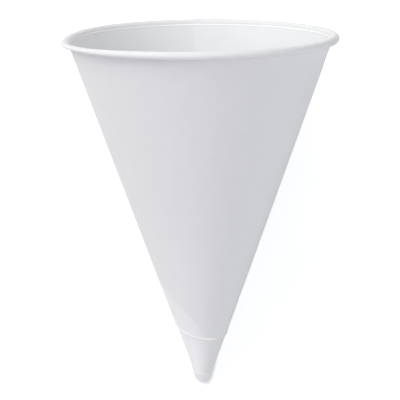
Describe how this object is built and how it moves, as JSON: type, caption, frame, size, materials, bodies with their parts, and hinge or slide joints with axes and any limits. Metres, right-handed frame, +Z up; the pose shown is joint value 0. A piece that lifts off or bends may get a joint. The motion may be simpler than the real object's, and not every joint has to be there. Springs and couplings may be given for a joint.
{
  "type": "cone paper cup",
  "caption": "Cone-shaped disposable drinking cup wound from one sheet of white paper, with a lapped wall, a rolled rim and a closed blunt tip, lying on its side.",
  "frame": {"origin": "centre of the footprint of the lying cup, on the surface it lies on", "axes": "+Y from the tip towards the mouth along the ground, +Z up, +X across the cup"},
  "size_m": [0.0736, 0.1008, 0.0686],
  "materials": {
    "paper": "smooth bleached white paper with a faint fibre grain and a low sheen"
  },
  "bodies": {
    "root": {"cone_cup": "paper"}
  },
  "joints": []
}
